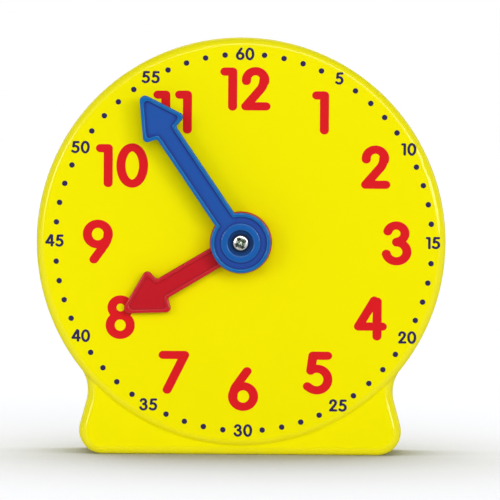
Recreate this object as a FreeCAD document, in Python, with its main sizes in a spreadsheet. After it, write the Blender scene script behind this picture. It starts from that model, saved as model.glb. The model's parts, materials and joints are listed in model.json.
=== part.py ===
"""Geared teaching clock: a moulded dial on a wide foot, two hands and the 12 : 1 gear train between them.

Millimetres, +Z up, the dial faces -Y.  The origin is the bottom centre of the whole clock.
Every piece is drawn in the dial's own frame (x right, y up, z out of the dial towards the viewer,
zero at the middle of the dial's face) and is then placed in the clock with one turn.
"""
import FreeCAD, Part
import Sketcher
import math
import os
import re

V = FreeCAD.Vector
DIAL_NORMAL = V(0, 0, 1)
LEVEL_TOLERANCE = 1e-4
SMALLEST_CHANGE = 1e-6
HALF_TURN = 180

# ---------------------------------------------------------------- driving dimensions

SIZES = {
    # dial shell, seen from the front
    "disc_radius": 49.75,
    "foot_rise": 2.1,
    "foot_half_width": 39.25,
    "foot_corner_radius": 5.8,
    "flank_lean": 15.2,
    "waist_radius": 9.0,
    # dial shell, walls and edges
    "shell_depth": 25.4,
    "dial_wall": 2.2,
    "side_wall": 2.0,
    "plateau_height": 1.1,
    "disc_edge_radius": 2.0,
    "foot_edge_radius": 2.2,
    "rim_edge_radius": 0.5,
    "rib_thickness": 1.6,
    "rib_depth": 6.0,
    "foot_rib_spacing": 32.0,
    "spoke_count": 5,
    # gear case on the back of the dial, and its cover
    "case_wall": 1.6,
    "case_clearance": 1.6,
    "post_radius": 3.2,
    "post_margin": 0.6,
    "post_rise": 6.0,
    "cover_thickness": 2.0,
    "cover_ear_radius": 4.2,
    "cover_edge_radius": 0.5,
    "cup_wall": 1.6,
    "cup_depth": 2.5,
    "cup_floor": 1.0,
    # bearings and axial stack
    "centre_boss_depth": 1.8,
    "boss_wall": 2.4,
    "bush_wall": 1.3,
    "bush_flange_width": 2.0,
    "bush_flange_thickness": 1.0,
    "bush_collar": 0.8,
    "washer_thickness": 0.5,
    "washer_gap": 0.15,
    "axial_play": 0.15,
    "hand_play": 0.2,
    "running_clearance": 0.05,
    "spring_height": 0.85,
    "spring_thickness": 0.3,
    # gear train
    "gear_module": 1.0,
    "pressure_angle": 20.0,
    "addendum_factor": 0.8,
    "root_clearance_factor": 0.25,
    "shift_factor": 0.4,
    "tooth_backlash": 0.12,
    "minute_pinion_teeth": 10,
    "intermediate_wheel_teeth": 30,
    "intermediate_pinion_teeth": 8,
    "gear_face": 3.0,
    "gear_layer_gap": 0.6,
    "gear_web": 1.8,
    "gear_rim": 2.4,
    "gear_hub_wall": 1.6,
    # shafts
    "arbor_radius": 2.3,
    "arbor_key_half_width": 1.7,
    "journal_radius": 2.0,
    "pipe_wall": 1.35,
    "pipe_key_half_width": 3.0,
    "axle_radius": 1.5,
    "axle_boss_wall": 2.0,
    "axle_grip": 3.0,
    "axle_chamfer": 0.3,
    # hands
    "hub_edge_radius": 0.35,
    "hand_rim": 1.0,
    "head_length": 11.1,
    "head_half_width": 6.15,
    "head_sweep": 0.9,
    "head_tip_radius": 1.3,
    "head_barb_radius": 1.1,
    "head_notch_radius": 0.6,
    "hour_hand_reach": 34.1,
    "hour_hub_radius": 7.55,
    "hour_arm_half_width": 2.65,
    "hour_hand_thickness": 2.0,
    "hour_pocket_depth": 0.45,
    "hour_boss_radius": 5.4,
    "spacer_margin": 0.5,
    "hour_hand_angle": 239.2,
    "minute_hand_reach": 44.1,
    "minute_hub_radius": 7.3,
    "minute_arm_half_width": 2.8,
    "minute_hand_thickness": 3.6,
    "minute_arm_thickness": 2.8,
    "minute_back_boss_radius": 6.0,
    "minute_pocket_depth": 0.9,
    "minute_boss_radius": 4.85,
    "minute_boss_drop": 0.2,
    "minute_socket_depth": 1.2,
    "minute_web": 0.8,
    "minute_counterbore_radius": 3.1,
    "minute_hand_angle": 325.7,
    # fasteners
    "screw_hole_clearance": 0.15,
    "centre_screw_head_radius": 1.9,
    "centre_screw_head_height": 1.3,
    "centre_screw_thread_radius": 1.0,
    "centre_screw_grip": 5.0,
    "centre_screw_recess_reach": 1.0,
    "centre_screw_recess_half_width": 0.24,
    "centre_screw_recess_depth": 0.85,
    "cover_screw_head_radius": 2.5,
    "cover_screw_head_height": 1.7,
    "cover_screw_thread_radius": 1.2,
    "cover_screw_grip": 6.0,
    "cover_screw_recess_reach": 1.25,
    "cover_screw_recess_half_width": 0.3,
    "cover_screw_recess_depth": 1.1,
}

doc = FreeCAD.newDocument("teaching_clock")
sheet = doc.addObject("Spreadsheet::Sheet", "sizes")
for row, (alias, number) in enumerate(SIZES.items(), start=1):
    sheet.set(f"A{row}", alias)
    sheet.set(f"B{row}", str(number))
    sheet.setAlias(f"B{row}", alias)
doc.recompute()


def cells(formula):
    """The formula with each size named as a cell of the sheet."""
    return re.sub(r"\b([a-z]+(?:_[a-z]+)+)\b", r"sizes.\1", formula)


def size(formula):
    """The number that a formula over the sheet's sizes gives."""
    return float(sheet.evalExpression(re.sub(r"sizes\.", "", cells(formula))))


# ---------------------------------------------------------------- sizes worked out from the sheet

DISC_DROP = "(disc_radius + foot_rise)"
CENTRE_DISTANCE = "(gear_module * (minute_pinion_teeth + intermediate_wheel_teeth) / 2)"
HOUR_WHEEL_TEETH = "(minute_pinion_teeth + intermediate_wheel_teeth - intermediate_pinion_teeth)"
HOUR_WHEEL_TIP = f"(gear_module * ({HOUR_WHEEL_TEETH} / 2 + addendum_factor - shift_factor))"

# heights along the dial's axis, from the dial's face backwards
DIAL_BACK = "(-dial_wall)"
BOSS_BACK = f"({DIAL_BACK} - centre_boss_depth)"
BUSH_BACK = f"({BOSS_BACK} - bush_flange_thickness)"
HOUR_WHEEL_FRONT = f"({BUSH_BACK} - washer_thickness - axial_play)"
HOUR_WHEEL_BACK = f"({HOUR_WHEEL_FRONT} - gear_face)"
MINUTE_LAYER_FRONT = f"({HOUR_WHEEL_BACK} - gear_layer_gap)"
MINUTE_LAYER_BACK = f"({MINUTE_LAYER_FRONT} - gear_face)"
SPRING_FRONT = f"({MINUTE_LAYER_BACK} - axial_play - washer_thickness)"
COVER_FRONT = f"({SPRING_FRONT} - spring_height)"
COVER_BACK = f"({COVER_FRONT} - cover_thickness)"
CUP_BACK = f"({COVER_BACK} - cup_depth)"

# heights along the dial's axis, from the dial's face forwards
HOUR_HAND_BACK = "(bush_collar + hand_play)"
HOUR_HAND_FRONT = f"({HOUR_HAND_BACK} + hour_hand_thickness)"
SPACER_BACK = f"({HOUR_HAND_FRONT} + hand_play)"
MINUTE_HAND_BACK = f"({SPACER_BACK} + washer_thickness)"
MINUTE_HAND_FRONT = f"({MINUTE_HAND_BACK} + minute_hand_thickness)"
SCREW_SEAT = f"({MINUTE_HAND_BACK} + minute_socket_depth + minute_web)"

# radii of what turns in what
PIPE_BORE = "(arbor_radius + running_clearance)"
PIPE_RADIUS = f"({PIPE_BORE} + pipe_wall)"
BUSH_BORE = f"({PIPE_RADIUS} + running_clearance)"
BUSH_RADIUS = f"({BUSH_BORE} + bush_wall)"
BUSH_FLANGE_RADIUS = f"({BUSH_RADIUS} + bush_flange_width)"
JOURNAL_BORE = "(journal_radius + running_clearance)"
ROOT_DEPTH_FACTOR = "(addendum_factor + root_clearance_factor - shift_factor)"
PINION_ROOT = f"(gear_module * (minute_pinion_teeth / 2 - {ROOT_DEPTH_FACTOR}))"
AXLE_PINION_ROOT = f"(gear_module * (intermediate_pinion_teeth / 2 - {ROOT_DEPTH_FACTOR}))"
AXLE_BORE = "(axle_radius + running_clearance)"

# gear case
CASE_INNER = f"({HOUR_WHEEL_TIP} + case_clearance)"
CASE_OUTER = f"({CASE_INNER} + case_wall)"
POST_SPREAD = f"({CASE_INNER} + post_radius + post_margin)"
POST_DROP = f"({CENTRE_DISTANCE} + post_rise)"


def place(turn=0.0):
    """Where the dial's frame sits in the clock, turned clockwise by so many degrees."""
    front_stack = size(MINUTE_HAND_FRONT)
    middle = V(0, (front_stack - size("shell_depth")) / 2, size(DISC_DROP))
    upright = FreeCAD.Rotation(V(1, 0, 0), 90)
    return FreeCAD.Placement(middle, upright * FreeCAD.Rotation(DIAL_NORMAL, -turn))


# ---------------------------------------------------------------- outlines

def polar(radius, degrees):
    """A point of the dial's plane, by its distance from the centre and its angle."""
    angle = math.radians(degrees)
    return V(radius * math.cos(angle), radius * math.sin(angle), 0)


def arc_between(centre, start, end, clockwise=False):
    """The arc about a centre from one point to another, with its direction kept."""
    radius = (start - centre).Length
    first = math.atan2(start.y - centre.y, start.x - centre.x)
    last = math.atan2(end.y - centre.y, end.x - centre.x)
    if clockwise:
        first, last = last, first
    if last <= first:
        last += 2 * math.pi
    return Part.ArcOfCircle(Part.Circle(centre, DIAL_NORMAL, radius), first, last)


def mirrored(points):
    """The points of a left half, from those of a right half, in reverse order."""
    return [V(-point.x, point.y, 0) for point in reversed(points)]


def shell_outline(inset):
    """The front outline of disc, waist and foot, moved inwards by a wall."""
    disc = size("disc_radius") - inset
    waist = size("waist_radius") + inset
    corner = size("foot_corner_radius") - inset
    floor = -size(DISC_DROP)
    corner_centre = V(size("foot_half_width - foot_corner_radius"), floor + size("foot_corner_radius"), 0)

    bottom = corner_centre + V(0, -corner, 0)
    flank_normal = polar(1, size("flank_lean"))
    flank_down = V(flank_normal.y, -flank_normal.x, 0)
    flank_low = corner_centre + flank_normal * corner
    outwards = flank_low.dot(flank_normal) + waist
    waist_centre = flank_normal * outwards + flank_down * math.sqrt((disc + waist) ** 2 - outwards ** 2)
    flank_high = waist_centre - flank_normal * waist
    shoulder = waist_centre * (disc / waist_centre.Length)

    left_bottom, left_low, left_high, left_shoulder = [
        V(-point.x, point.y, 0) for point in (bottom, flank_low, flank_high, shoulder)]
    left_corner_centre, left_waist_centre = [
        V(-point.x, point.y, 0) for point in (corner_centre, waist_centre)]
    return [
        Part.LineSegment(left_bottom, bottom),
        arc_between(corner_centre, bottom, flank_low),
        Part.LineSegment(flank_low, flank_high),
        arc_between(waist_centre, flank_high, shoulder, clockwise=True),
        arc_between(V(0, 0, 0), shoulder, left_shoulder),
        arc_between(left_waist_centre, left_shoulder, left_high, clockwise=True),
        Part.LineSegment(left_high, left_low),
        arc_between(left_corner_centre, left_low, left_bottom),
    ]


def stadium(radius, drop):
    """A round-ended outline from the centre of the dial down to a second centre."""
    low = V(0, -drop, 0)
    right_top, right_low = V(radius, 0, 0), V(radius, -drop, 0)
    left_top, left_low = V(-radius, 0, 0), V(-radius, -drop, 0)
    return [
        arc_between(V(0, 0, 0), right_top, left_top),
        Part.LineSegment(left_top, left_low),
        arc_between(low, left_low, right_low),
        Part.LineSegment(right_low, right_top),
    ]


def bar(radius, spread, height):
    """A round-ended bar across the dial at a height, for two screw ears."""
    right, left = V(spread, height, 0), V(-spread, height, 0)
    rise = V(0, radius, 0)
    return [
        arc_between(right, right - rise, right + rise),
        Part.LineSegment(right + rise, left + rise),
        arc_between(left, left + rise, left - rise),
        Part.LineSegment(left - rise, right - rise),
    ]


def polygon(points):
    """Straight segments through the points and back to the first."""
    return [Part.LineSegment(points[i - 1], points[i]) for i in range(len(points))]


def rectangle(left, right, bottom, top):
    """A rectangle of the dial's plane."""
    return polygon([V(left, bottom, 0), V(right, bottom, 0), V(right, top, 0), V(left, top, 0)])


def double_d(radius, half_width):
    """A round outline with two flats, left and right."""
    rise = math.sqrt(radius ** 2 - half_width ** 2)
    right_top, right_low = V(half_width, rise, 0), V(half_width, -rise, 0)
    left_top, left_low = V(-half_width, rise, 0), V(-half_width, -rise, 0)
    middle = V(0, 0, 0)
    return [
        arc_between(middle, right_top, left_top),
        Part.LineSegment(left_top, left_low),
        arc_between(middle, left_low, right_low),
        Part.LineSegment(right_low, right_top),
    ]


def inset_corners(corners, distance):
    """The corners of an anticlockwise polygon whose sides have moved inwards."""
    moved = []
    for i, corner in enumerate(corners):
        before = (corner - corners[i - 1]).normalize()
        after = (corners[(i + 1) % len(corners)] - corner).normalize()
        normal_before, normal_after = V(-before.y, before.x, 0), V(-after.y, after.x, 0)
        bisector = (normal_before + normal_after).normalize()
        moved.append(corner + bisector * (distance / bisector.dot(normal_before)))
    return moved


def rounded_polygon(corners, radii):
    """An outline through the corners, each rounded by its radius."""
    ends = []
    arcs = []
    for i, (corner, radius) in enumerate(zip(corners, radii)):
        back = (corners[i - 1] - corner).normalize()
        ahead = (corners[(i + 1) % len(corners)] - corner).normalize()
        half_angle = back.getAngle(ahead) / 2
        start = corner + back * (radius / math.tan(half_angle))
        end = corner + ahead * (radius / math.tan(half_angle))
        ends.append((start, end))
        centre = corner + (back + ahead).normalize() * (radius / math.sin(half_angle))
        turns_left = back.cross(ahead).z < 0
        arcs.append(arc_between(centre, start, end, clockwise=not turns_left) if radius else None)
    outline = []
    for i, arc in enumerate(arcs):
        outline.append(Part.LineSegment(ends[i - 1][1], ends[i][0]))
        if arc:
            outline.append(arc)
    return outline


def arrow(reach, arm_half_width, inset=0.0):
    """A hand's arm and head, from the dial's centre up to the tip, moved inwards by a rim."""
    barb = reach - size("head_length")
    half = size("head_half_width")
    right = [V(arm_half_width, 0, 0), V(arm_half_width, barb - size("head_sweep"), 0), V(half, barb, 0)]
    corners = right + [V(0, reach, 0)] + mirrored(right)
    tip, blunt = size("head_tip_radius"), size("head_barb_radius")
    notch = size("head_notch_radius")
    if inset:
        open_end = V(0, inset, 0)
        corners = inset_corners(corners, inset)
        corners[0] -= open_end
        corners[-1] -= open_end
        tip, blunt, notch = tip - inset / 2, blunt - inset / 2, notch + inset / 2
    return rounded_polygon(corners, [0, notch, blunt, tip, blunt, notch, 0])


def gear_outline(teeth, shift, phase):
    """The outline of an involute spur gear with one tooth's middle at an angle in degrees."""
    module = size("gear_module")
    pressure = math.radians(size("pressure_angle"))
    pitch = module * teeth / 2
    base = pitch * math.cos(pressure)
    tip = pitch + module * (size("addendum_factor") + shift)
    root = pitch - module * (size("addendum_factor + root_clearance_factor") - shift)
    thickness = module * (math.pi / 2 + 2 * shift * math.tan(pressure)) - size("tooth_backlash")
    involute_at_pitch = math.tan(pressure) - pressure

    def half_angle(radius):
        if radius <= base:
            return thickness / (2 * pitch) + involute_at_pitch
        angle = math.acos(base / radius)
        return thickness / (2 * pitch) + involute_at_pitch - (math.tan(angle) - angle)

    flank_start = max(base, root)
    flank_middle = (flank_start + tip) / 2
    step = 360 / teeth
    edges = []
    for tooth in range(teeth):
        middle = phase + tooth * step

        def on_tooth(radius, side, middle=middle):
            return polar(radius, middle + side * math.degrees(half_angle(radius)))

        next_root = polar(root, middle + step - math.degrees(half_angle(root)))
        if root < base:
            edges.append(Part.LineSegment(on_tooth(root, -1), on_tooth(flank_start, -1)))
        edges.append(Part.Arc(on_tooth(flank_start, -1), on_tooth(flank_middle, -1), on_tooth(tip, -1)))
        edges.append(Part.Arc(on_tooth(tip, -1), polar(tip, middle), on_tooth(tip, 1)))
        edges.append(Part.Arc(on_tooth(tip, 1), on_tooth(flank_middle, 1), on_tooth(flank_start, 1)))
        if root < base:
            edges.append(Part.LineSegment(on_tooth(flank_start, 1), on_tooth(root, 1)))
        edges.append(Part.Arc(on_tooth(root, 1), polar(root, middle + step / 2), next_root))
    return Part.Face(Part.Wire([edge.toShape() for edge in edges]))


# ---------------------------------------------------------------- features

def bind(item, prop, formula):
    """Tie a property to the sheet."""
    item.setExpression(prop, cells(formula))


def new_body(label):
    """An empty PartDesign body with its node's name."""
    body = doc.addObject("PartDesign::Body", label)
    body.Label = label
    return body


def origin_plane(body, role):
    """One of a body's own origin planes."""
    return next(plane for plane in body.Origin.OriginFeatures if plane.Role == role)


def sketch(body, name, geometry, height="0", role="XY_Plane"):
    """A sketch on a body's own plane, its ends joined, at a height along the dial's axis."""
    drawing = body.newObject("Sketcher::SketchObject", name)
    drawing.AttachmentSupport = [(origin_plane(body, role), "")]
    drawing.MapMode = "FlatFace"
    bind(drawing, "AttachmentOffset.Base.z", height)
    drawing.addGeometry(geometry, False)
    return drawing


def circle_sketch(body, name, radius, height, centres=((0, 0),)):
    """Equal circles whose radius is tied to the sheet."""
    circles = [Part.Circle(V(x, y, 0), DIAL_NORMAL, size(radius)) for x, y in centres]
    drawing = sketch(body, name, circles, height)
    for index in range(len(circles)):
        constraint = drawing.addConstraint(Sketcher.Constraint("Radius", index, size(radius)))
        drawing.renameConstraint(constraint, f"radius_{index}")
        bind(drawing, f"Constraints.radius_{index}", radius)
    return drawing


def grow(body, kind, name, drawing, length):
    """Pad or pocket a sketch forwards, towards the viewer, over a length tied to the sheet."""
    before = body.Shape.Volume if body.Shape.Solids else 0
    feature = body.newObject(f"PartDesign::{kind}", name)
    feature.Profile = drawing
    feature.Reversed = kind == "Pocket"
    bind(feature, "Length", length)
    doc.recompute()
    change = body.Shape.Volume - before
    if (change >= 0) == (kind == "Pocket") or abs(change) < SMALLEST_CHANGE:
        raise ValueError(f"{name} changed the volume of {body.Label} by {change:.3f}")
    return feature


def pad(body, name, drawing, length):
    """Material from a sketch's plane forwards."""
    return grow(body, "Pad", name, drawing, length)


def pocket(body, name, drawing, length):
    """A cut from a sketch's plane forwards."""
    return grow(body, "Pocket", name, drawing, length)


def revolve(body, name, drawing):
    """Material turned about the dial's axis from a half profile."""
    feature = body.newObject("PartDesign::Revolution", name)
    feature.Profile = drawing
    feature.ReferenceAxis = (drawing, ["V_Axis"])
    feature.Angle = 360
    doc.recompute()
    return feature


def round_edges(body, name, height, radius):
    """Fillet the edges that lie in one plane of the body."""
    level = size(height)
    tip = body.Tip
    names = []
    for index, edge in enumerate(tip.Shape.Edges, start=1):
        if max(abs(edge.BoundBox.ZMin - level), abs(edge.BoundBox.ZMax - level)) < LEVEL_TOLERANCE:
            names.append(f"Edge{index}")
    feature = body.newObject("PartDesign::Fillet", name)
    feature.Base = (tip, names)
    bind(feature, "Radius", radius)
    doc.recompute()
    return feature


def cylinder(name, radius, back, length, drop="0"):
    """A cylinder along the dial's axis, below the dial's centre by a drop."""
    item = doc.addObject("Part::Cylinder", name)
    bind(item, "Radius", radius)
    bind(item, "Height", length)
    bind(item, "Placement.Base.y", f"-({drop})")
    bind(item, "Placement.Base.z", back)
    return item


def joined(label, items):
    """One solid from several."""
    whole = doc.addObject("Part::MultiFuse", label)
    whole.Shapes = items
    return whole


def common(label, first, second):
    """What two solids share."""
    whole = doc.addObject("Part::Common", label)
    whole.Base = first
    whole.Tool = second
    return whole


def without(label, base, tool):
    """One solid less another."""
    whole = doc.addObject("Part::Cut", label)
    whole.Base = base
    whole.Tool = tool
    whole.Label = label
    return whole


def ring(label, outer, inner, back, length, drop="0"):
    """A flat ring along the dial's axis."""
    rim = cylinder(f"{label}_rim", outer, back, length, drop)
    bore = cylinder(f"{label}_bore", inner, back, length, drop)
    return without(label, rim, bore)


def toothed(name, teeth, shift, phase, back, drop="0"):
    """A toothed blank, one gear face wide, about the dial's axis or below it."""
    item = doc.addObject("Part::Feature", name)
    face = gear_outline(round(size(teeth)), size(shift), phase)
    face.translate(V(0, -size(drop), size(back)))
    item.Shape = face.extrude(V(0, 0, size("gear_face")))
    return item


# ---------------------------------------------------------------- dial shell

def make_clock_body():
    """The one-piece shell: raised round dial, waisted foot, open back, ribs and gear case."""
    body = new_body("clock_body")
    back = "-shell_depth"

    outline = sketch(body, "front_outline", shell_outline(0.0), back)
    pad(body, "shell_blank", outline, "shell_depth - plateau_height")
    round_edges(body, "foot_edge", "-plateau_height", "foot_edge_radius")

    radius, edge, deep = size("disc_radius"), size("disc_edge_radius"), size("shell_depth")
    half_disc = [
        Part.LineSegment(V(0, -deep, 0), V(radius, -deep, 0)),
        Part.LineSegment(V(radius, -deep, 0), V(radius, -edge, 0)),
        arc_between(V(radius - edge, -edge, 0), V(radius, -edge, 0), V(radius - edge, 0, 0)),
        Part.LineSegment(V(radius - edge, 0, 0), V(0, 0, 0)),
        Part.LineSegment(V(0, 0, 0), V(0, -deep, 0)),
    ]
    revolve(body, "dial_disc", sketch(body, "disc_profile", half_disc, role="XZ_Plane"))

    hollow = sketch(body, "hollow_outline", shell_outline(size("side_wall")), back)
    pocket(body, "foot_hollow", hollow, "shell_depth - plateau_height - dial_wall")
    disc_hollow = circle_sketch(body, "disc_hollow_outline", "disc_radius - side_wall", back)
    pocket(body, "disc_hollow", disc_hollow, "shell_depth - dial_wall")
    round_edges(body, "back_rim_edge", back, "rim_edge_radius")

    thin = size("rib_thickness") / 2
    rib_back = "-(dial_wall + rib_depth)"
    spoke = rectangle(0, size("disc_radius - side_wall / 2"), -thin, thin)
    first_spoke = pad(body, "spoke_rib", sketch(body, "spoke_outline", spoke, rib_back), "rib_depth")
    spokes = body.newObject("PartDesign::PolarPattern", "spoke_ribs")
    spokes.Originals = [first_spoke]
    spokes.Axis = (first_spoke.Profile[0], ["N_Axis"])
    spokes.Angle = HALF_TURN
    spokes.Occurrences = round(size("spoke_count"))
    body.Tip = spokes
    doc.recompute()

    foot_low = -size(f"{DISC_DROP} - side_wall / 2")
    foot_high = -size(CENTRE_DISTANCE)
    for side, middle in (("right", size("foot_rib_spacing / 2")), ("left", -size("foot_rib_spacing / 2"))):
        rib = rectangle(middle - thin, middle + thin, foot_low, foot_high)
        pad(body, f"{side}_foot_rib", sketch(body, f"{side}_foot_rib_outline", rib, rib_back), "rib_depth")

    drop = size(CENTRE_DISTANCE)
    case_outer = sketch(body, "case_outline", stadium(size(CASE_OUTER), drop), COVER_FRONT)
    pad(body, "case_wall_block", case_outer, f"-({COVER_FRONT}) - dial_wall / 2")
    posts = post_places()
    post_sketch = circle_sketch(body, "post_outline", "post_radius", COVER_FRONT, posts)
    pad(body, "cover_posts", post_sketch, f"-({COVER_FRONT}) - dial_wall / 2")
    case_inner = sketch(body, "case_inside", stadium(size(CASE_INNER), drop), COVER_FRONT)
    pocket(body, "case_hollow", case_inner, f"-({COVER_FRONT}) - dial_wall")

    centre_boss = circle_sketch(body, "centre_boss_outline", f"{BUSH_RADIUS} + boss_wall", BOSS_BACK)
    pad(body, "centre_boss", centre_boss, "centre_boss_depth")
    axle_boss = circle_sketch(body, "axle_boss_outline", "axle_radius + axle_boss_wall", BUSH_BACK,
                              [(0, -drop)])
    pad(body, "axle_boss", axle_boss, f"-({BUSH_BACK}) - dial_wall")

    bush_seat = circle_sketch(body, "bush_seat_outline", BUSH_RADIUS, BOSS_BACK)
    pocket(body, "bush_seat", bush_seat, f"-({BOSS_BACK})")
    axle_seat = circle_sketch(body, "axle_seat_outline", "axle_radius", BUSH_BACK, [(0, -drop)])
    pocket(body, "axle_seat", axle_seat, "axle_grip")
    pilot = circle_sketch(body, "pilot_outline", "cover_screw_thread_radius", COVER_FRONT, posts)
    pocket(body, "pilot_holes", pilot, "cover_screw_grip + screw_hole_clearance")
    return body


def post_places():
    """Where the four cover screws stand on the dial's plane."""
    spread, rise, drop = size(POST_SPREAD), size("post_rise"), size(POST_DROP)
    return [(spread, rise), (-spread, rise), (-spread, -drop), (spread, -drop)]


# ---------------------------------------------------------------- gear case cover

def make_gear_cover():
    """The plate that closes the gear case, with a blind bearing cup for each shaft."""
    body = new_body("gear_cover")
    drop = size(CENTRE_DISTANCE)
    plate = sketch(body, "plate_outline", stadium(size(CASE_OUTER), drop), COVER_BACK)
    pad(body, "plate", plate, "cover_thickness")
    ears = (("upper", size("post_rise")), ("lower", -size(POST_DROP)))
    for name, height in ears:
        ear_bar = bar(size("cover_ear_radius"), size(POST_SPREAD), height)
        pad(body, f"{name}_ears", sketch(body, f"{name}_ear_outline", ear_bar, COVER_BACK), "cover_thickness")
    round_edges(body, "plate_edge", COVER_BACK, "cover_edge_radius")

    arbor_cup = circle_sketch(body, "arbor_cup_outline", f"{JOURNAL_BORE} + cup_wall", CUP_BACK)
    pad(body, "arbor_cup", arbor_cup, "cup_depth")
    axle_cup = circle_sketch(body, "axle_cup_outline", "axle_radius + cup_wall", CUP_BACK, [(0, -drop)])
    pad(body, "axle_cup", axle_cup, "cup_depth")
    round_edges(body, "cup_edge", CUP_BACK, "cover_edge_radius")

    cup_bottom = f"({CUP_BACK} + cup_floor)"
    deep = "cup_depth + cover_thickness - cup_floor"
    arbor_bore = circle_sketch(body, "arbor_bore_outline", JOURNAL_BORE, cup_bottom)
    pocket(body, "arbor_bore", arbor_bore, deep)
    axle_bore = circle_sketch(body, "axle_bore_outline", "axle_radius", cup_bottom, [(0, -drop)])
    pocket(body, "axle_bore", axle_bore, deep)
    holes = circle_sketch(body, "screw_hole_outline", "cover_screw_thread_radius + screw_hole_clearance",
                          COVER_BACK, post_places())
    pocket(body, "screw_holes", holes, "cover_thickness")
    return body


# ---------------------------------------------------------------- screws

def make_screw(label, kind, shank):
    """A pan-head screw with a cross recess: its seat at zero, its head forwards."""
    body = new_body(label)
    head, high = size(f"{kind}_head_radius"), size(f"{kind}_head_height")
    thread, long = size(f"{kind}_thread_radius"), size(shank)
    side = high / 2
    crown = (head ** 2 + (high - side) ** 2) / (2 * (high - side))
    point = thread / 2
    profile = [
        Part.LineSegment(V(0, -long, 0), V(point, -long, 0)),
        Part.LineSegment(V(point, -long, 0), V(thread, -long + point, 0)),
        Part.LineSegment(V(thread, -long + point, 0), V(thread, 0, 0)),
        Part.LineSegment(V(thread, 0, 0), V(head, 0, 0)),
        Part.LineSegment(V(head, 0, 0), V(head, side, 0)),
        arc_between(V(0, high - crown, 0), V(head, side, 0), V(0, high, 0)),
        Part.LineSegment(V(0, high, 0), V(0, -long, 0)),
    ]
    revolve(body, "blank", sketch(body, "half_profile", profile, role="XZ_Plane"))
    reach, slot = size(f"{kind}_recess_reach"), size(f"{kind}_recess_half_width")
    quarter = [V(reach, slot, 0), V(slot, slot, 0), V(slot, reach, 0)]
    corners = []
    for turn in range(4):
        spin = FreeCAD.Rotation(DIAL_NORMAL, 90 * turn)
        corners += [spin.multVec(corner) for corner in quarter]
    floor = f"{kind}_head_height - {kind}_recess_depth"
    cross = sketch(body, "recess_outline", polygon(corners), floor)
    pocket(body, "cross_recess", cross, f"{kind}_recess_depth")
    return body


# ---------------------------------------------------------------- hands

def make_hour_hand():
    """The short hand: raised rim, shallow pocket, and a keyed hole pressed on the hour pipe."""
    body = new_body("hour_hand")
    reach, half = size("hour_hand_reach"), size("hour_arm_half_width")
    hub = circle_sketch(body, "hub_outline", "hour_hub_radius", HOUR_HAND_BACK)
    pad(body, "hub", hub, "hour_hand_thickness")
    pad(body, "arm", sketch(body, "arm_outline", arrow(reach, half), HOUR_HAND_BACK), "hour_hand_thickness")

    floor = f"({HOUR_HAND_FRONT} - hour_pocket_depth)"
    inside = sketch(body, "arm_pocket_outline", arrow(reach, half, size("hand_rim")), floor)
    pocket(body, "arm_pocket", inside, "hour_pocket_depth")
    hub_inside = circle_sketch(body, "hub_pocket_outline", "hour_hub_radius - hand_rim", floor)
    pocket(body, "hub_pocket", hub_inside, "hour_pocket_depth")
    round_edges(body, "rim_edge", HOUR_HAND_FRONT, "hub_edge_radius")
    boss = circle_sketch(body, "boss_outline", "hour_boss_radius", floor)
    pad(body, "boss", boss, "hour_pocket_depth")

    key = double_d(size(PIPE_RADIUS), size("pipe_key_half_width"))
    pocket(body, "pipe_hole", sketch(body, "pipe_hole_outline", key, HOUR_HAND_BACK), "hour_hand_thickness")
    return body


def make_minute_hand():
    """The long hand: raised rim, deep pocket, and a boss with the screw's counterbore."""
    body = new_body("minute_hand")
    reach, half = size("minute_hand_reach"), size("minute_arm_half_width")
    arm_back = f"({MINUTE_HAND_FRONT} - minute_arm_thickness)"
    hub = circle_sketch(body, "hub_outline", "minute_hub_radius", arm_back)
    pad(body, "hub", hub, "minute_arm_thickness")
    pad(body, "arm", sketch(body, "arm_outline", arrow(reach, half), arm_back), "minute_arm_thickness")

    floor = f"({MINUTE_HAND_FRONT} - minute_pocket_depth)"
    inside = sketch(body, "arm_pocket_outline", arrow(reach, half, size("hand_rim")), floor)
    pocket(body, "arm_pocket", inside, "minute_pocket_depth")
    hub_inside = circle_sketch(body, "hub_pocket_outline", "minute_hub_radius - hand_rim", floor)
    pocket(body, "hub_pocket", hub_inside, "minute_pocket_depth")
    round_edges(body, "rim_edge", MINUTE_HAND_FRONT, "hub_edge_radius")

    boss = circle_sketch(body, "boss_outline", "minute_boss_radius", floor)
    pad(body, "boss", boss, "minute_pocket_depth - minute_boss_drop")
    back_boss = circle_sketch(body, "back_boss_outline", "minute_back_boss_radius", MINUTE_HAND_BACK)
    pad(body, "back_boss", back_boss, "minute_hand_thickness - minute_arm_thickness")

    counterbore = circle_sketch(body, "counterbore_outline", "minute_counterbore_radius", SCREW_SEAT)
    pocket(body, "counterbore", counterbore, "minute_hand_thickness")
    key = double_d(size("arbor_radius"), size("arbor_key_half_width"))
    pocket(body, "arbor_socket", sketch(body, "arbor_socket_outline", key, MINUTE_HAND_BACK),
           "minute_socket_depth")
    hole = circle_sketch(body, "screw_hole_outline", "centre_screw_thread_radius + screw_hole_clearance",
                         MINUTE_HAND_BACK)
    pocket(body, "screw_hole", hole, "minute_socket_depth + minute_web")
    return body


# ---------------------------------------------------------------- gear train

def clock_angle(turn):
    """A clockwise turn from twelve, as an angle of the dial's plane."""
    return 90 - turn


def mesh_phase(driver_teeth, driver_phase, driven_teeth, direction):
    """The driven gear's phase that puts one of its gaps on the driver's tooth."""
    return direction + 180 + 180 / driven_teeth - driver_teeth / driven_teeth * (driver_phase - direction)


def train_phases():
    """Tooth phases of the minute pinion, intermediate gear and hour wheel, all in mesh."""
    below, above = -90, 90
    minute = clock_angle(size("minute_hand_angle"))
    intermediate = mesh_phase(size("minute_pinion_teeth"), minute, size("intermediate_wheel_teeth"), below)
    hour = mesh_phase(size("intermediate_pinion_teeth"), intermediate, size(HOUR_WHEEL_TEETH), above)
    return minute, intermediate, hour


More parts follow.
